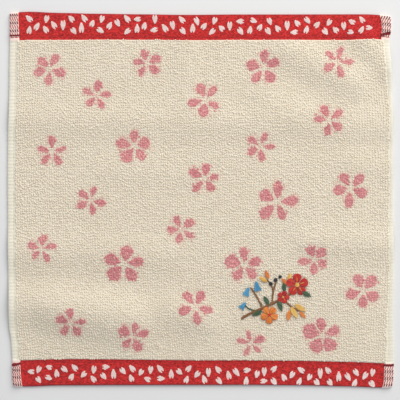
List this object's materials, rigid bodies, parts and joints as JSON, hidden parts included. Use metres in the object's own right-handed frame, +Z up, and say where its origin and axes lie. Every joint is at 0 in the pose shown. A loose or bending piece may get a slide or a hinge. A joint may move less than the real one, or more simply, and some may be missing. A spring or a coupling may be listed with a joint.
{
  "type": "towel handkerchief",
  "caption": "Square cotton towel handkerchief lying open and flat, with a looped terry field, flat-woven end bands and narrow turned side hems.",
  "frame": {"origin": "middle of the cloth's box, at the level of the surface it lies on", "axes": "+X to the right along the bands, +Y towards the far band, +Z up out of the face"},
  "size_m": [0.251, 0.2444, 0.0083],
  "materials": {
    "terry_cotton": "matte looped cotton pile in cream",
    "blossom_cotton": "matte looped cotton pile dyed pink",
    "band_cotton": "flat jacquard weave in red and white",
    "hem_cotton": "plain woven cotton hem in cream",
    "embroidery_thread": "satin stitch in shiny dyed thread"
  },
  "bodies": {
    "root": {"towel": "terry_cotton"}
  },
  "joints": []
}
